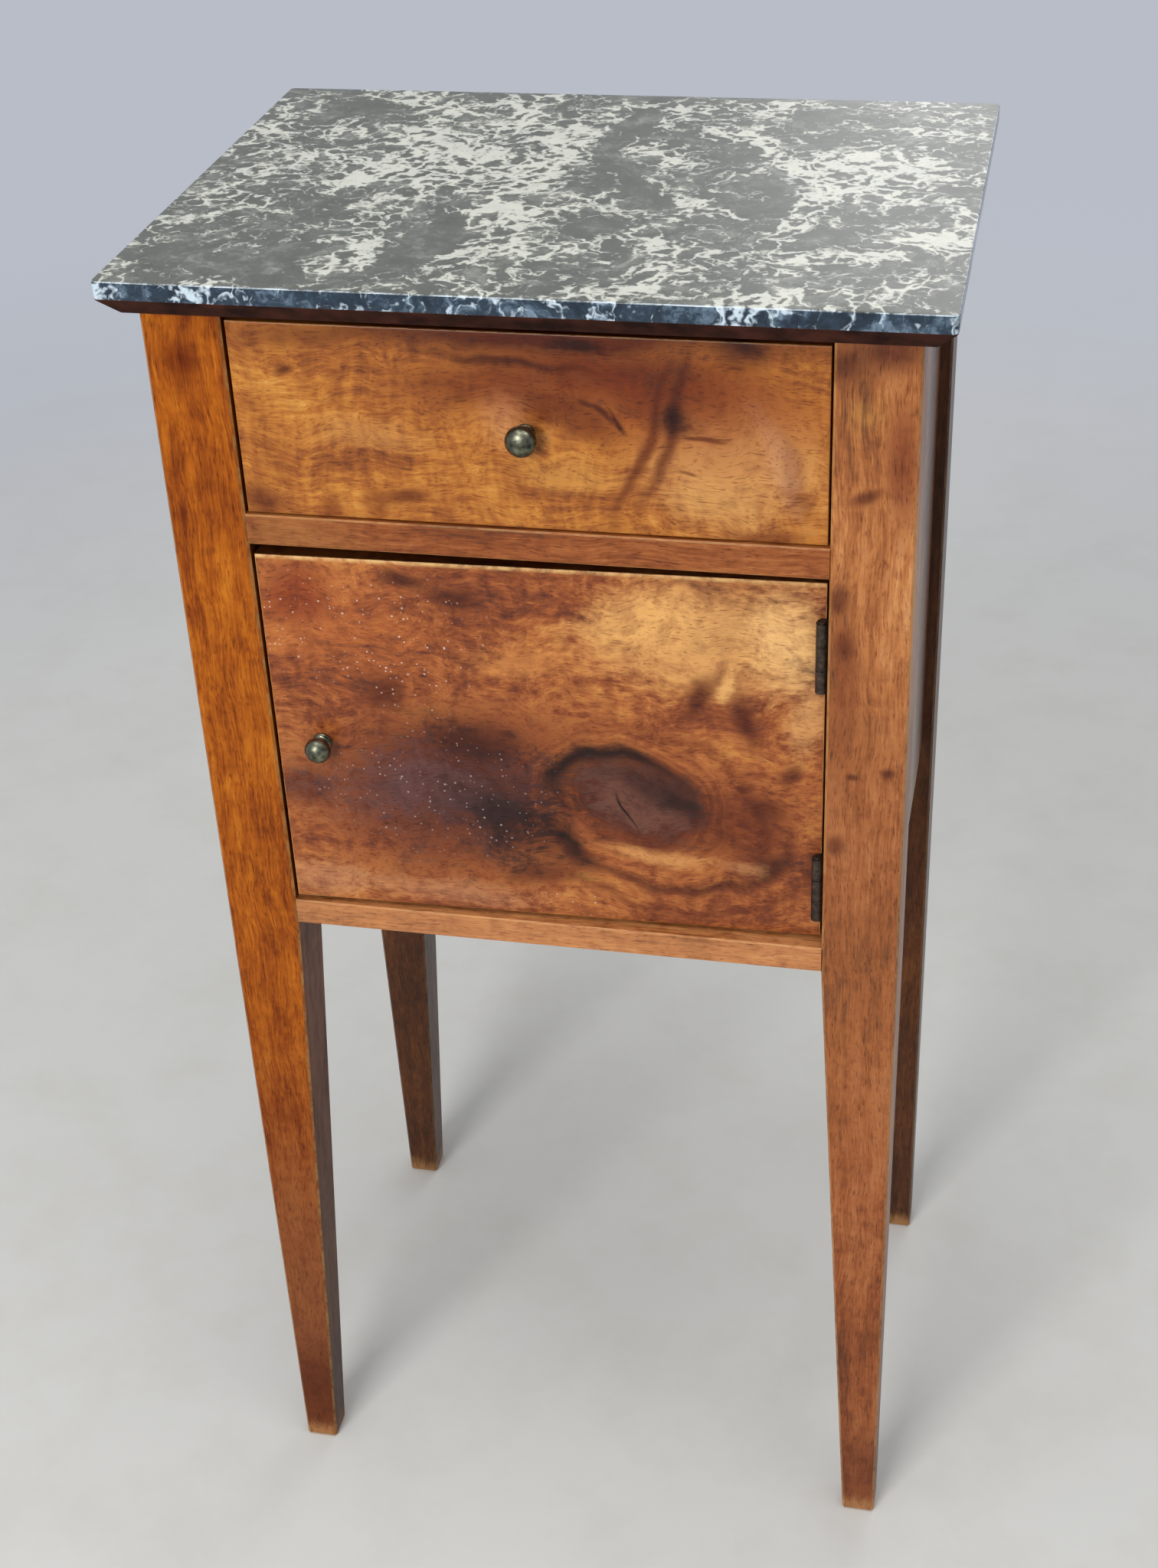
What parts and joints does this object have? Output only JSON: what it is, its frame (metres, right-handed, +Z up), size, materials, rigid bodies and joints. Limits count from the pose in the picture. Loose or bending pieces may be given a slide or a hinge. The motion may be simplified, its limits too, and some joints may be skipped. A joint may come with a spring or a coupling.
{
  "type": "nightstand",
  "caption": "Walnut nightstand on tapered legs with a marble top, a dovetailed drawer above and a hinged door below.",
  "frame": {"origin": "on the floor under the middle of the marble top", "axes": "+Z up, -Y towards the front with the drawer and door, +X to the right of someone facing it"},
  "size_m": [0.39, 0.298, 0.775],
  "materials": {
    "polished_walnut": "french polished, worn",
    "plain_oak": "bare, aged",
    "marble": "polished, dark grey with white veins",
    "patinated_brass": "patinated",
    "dark_steel": "oxidised"
  },
  "bodies": {
    "carcass": {"back_board_lower": "plain_oak", "back_board_middle": "plain_oak", "back_board_upper": "plain_oak", "bottom_rail": "polished_walnut", "cabinet_floor": "plain_oak", "door_stop": "plain_oak", "drawer_rail": "polished_walnut", "drawer_stops": "plain_oak", "frame_leaf_screws": "dark_steel", "front_left_leg": "polished_walnut", "front_right_leg": "polished_walnut", "left_guide": "plain_oak", "left_kicker": "plain_oak", "left_runner": "plain_oak", "left_side_panel": "polished_walnut", "lower_hinge_frame_leaf": "dark_steel", "lower_hinge_pin": "dark_steel", "marble_top": "marble", "rear_left_leg": "polished_walnut", "rear_right_leg": "polished_walnut", "right_guide": "plain_oak", "right_kicker": "plain_oak", "right_runner": "plain_oak", "right_side_panel": "polished_walnut", "upper_hinge_frame_leaf": "dark_steel", "upper_hinge_pin": "dark_steel"},
    "drawer": {"drawer_front": "polished_walnut", "drawer_left_side": "plain_oak", "drawer_right_side": "plain_oak", "drawer_back": "plain_oak", "drawer_bottom": "plain_oak", "drawer_knob": "patinated_brass", "drawer_knob_nut": "dark_steel"},
    "door": {"door_panel": "polished_walnut", "door_knob": "patinated_brass", "door_knob_nut": "dark_steel", "upper_hinge_door_leaf": "dark_steel", "lower_hinge_door_leaf": "dark_steel", "door_leaf_screws": "dark_steel"}
  },
  "joints": [
    {"name": "drawer_slide", "type": "slide", "parent": "carcass", "child": "drawer", "axis": [0, -1, 0], "range_m": [0, 0.17]},
    {"name": "door_hinge", "type": "hinge", "parent": "carcass", "child": "door", "pos_m": [0.1377, -0.1293, 0.53], "axis": [0, 0, 1], "range_deg": [-1.3, 155]}
  ]
}
